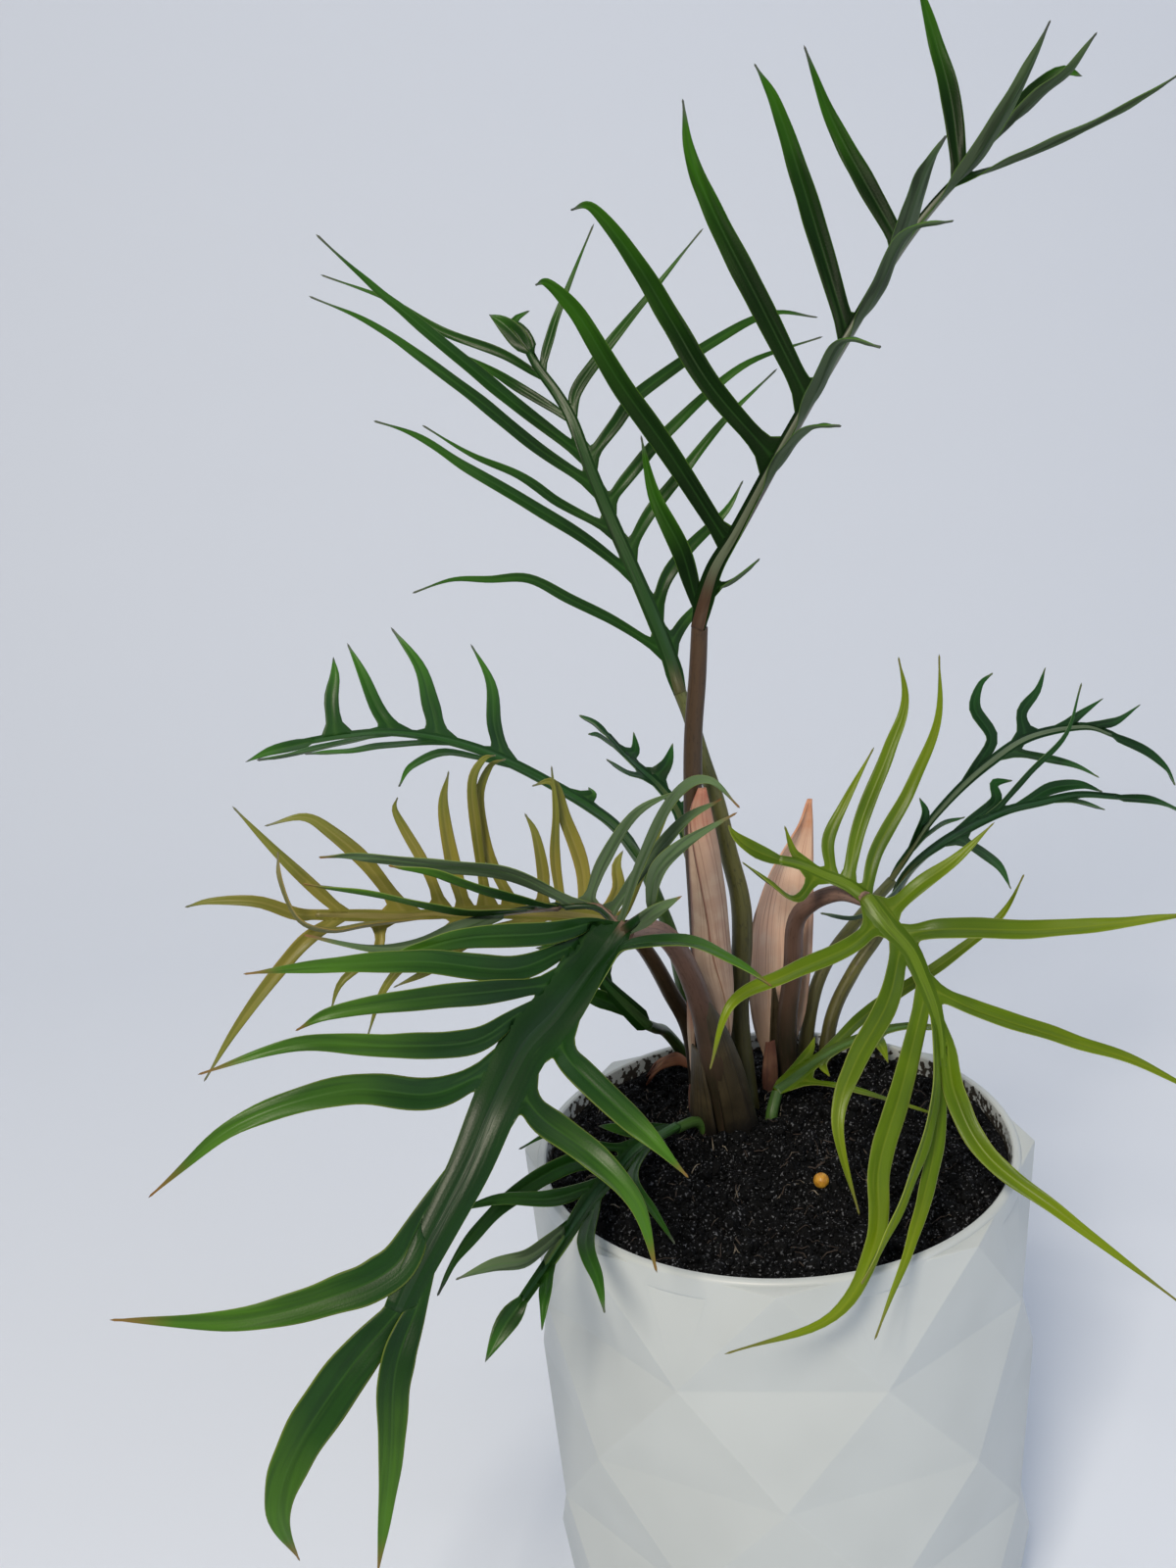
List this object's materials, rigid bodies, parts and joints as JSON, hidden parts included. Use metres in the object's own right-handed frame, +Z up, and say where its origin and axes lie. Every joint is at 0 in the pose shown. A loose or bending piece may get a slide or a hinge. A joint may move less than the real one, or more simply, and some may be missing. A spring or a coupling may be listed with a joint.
{
  "type": "potted philodendron tortum",
  "caption": "Potted aroid house plant with long comb-like cut leaves on arching stalks, standing in the soil of a white faceted pot.",
  "frame": {"origin": "middle of the pot's flat base, at the height of the surface it stands on", "axes": "+Z up, +X to the viewer's right and -Y towards the viewer of the picture"},
  "size_m": [0.27, 0.196, 0.398],
  "materials": {
    "pot": "white moulded plastic with a soft gloss",
    "soil": "dark crumbly potting soil with fibres and bark",
    "leaf": "smooth mid-green leaf, slightly glossy",
    "fresh_leaf": "bright young green leaf, slightly glossy",
    "dark_leaf": "dark green leaf, satin",
    "green_stalk": "smooth green stalk",
    "olive_stalk": "smooth olive stalk",
    "brown_stalk": "smooth brown stalk with fine specks",
    "pink_stalk": "pinkish-brown stalk, darker at its base",
    "pale_sheath": "thin papery sheath, pale pink and beige",
    "dry_sheath": "dry brown papery scrap",
    "prill": "yellow coated grain"
  },
  "bodies": {
    "root": {"pot": "pot", "soil": "soil", "tall_leaf_petiole": "brown_stalk", "tall_leaf_blade": "leaf", "upper_left_leaf_petiole": "olive_stalk", "upper_left_leaf_blade": "leaf", "middle_left_leaf_petiole": "green_stalk", "middle_left_leaf_blade": "dark_leaf", "left_leaf_petiole": "brown_stalk", "left_leaf_blade": "leaf", "front_left_leaf_petiole": "pink_stalk", "front_left_leaf_blade": "leaf", "front_right_leaf_petiole": "pink_stalk", "front_right_leaf_blade": "fresh_leaf", "back_right_leaf_petiole": "olive_stalk", "back_right_leaf_blade": "dark_leaf", "low_right_leaf_petiole": "olive_stalk", "low_right_leaf_blade": "dark_leaf", "small_right_leaf_petiole": "green_stalk", "small_right_leaf_blade": "fresh_leaf", "small_back_leaf_petiole": "olive_stalk", "small_back_leaf_blade": "dark_leaf", "low_left_leaf_petiole": "green_stalk", "low_left_leaf_blade": "leaf", "small_left_leaf_petiole": "green_stalk", "small_left_leaf_blade": "leaf", "pink_sheath": "pale_sheath", "pink_sheath_tail": "pale_sheath", "crown_scale": "dry_sheath", "boat_sheath": "pale_sheath", "inner_sheath": "olive_stalk", "dry_sheath": "dry_sheath", "bark_scrap": "dry_sheath", "fertiliser_prill": "prill"}
  },
  "joints": []
}
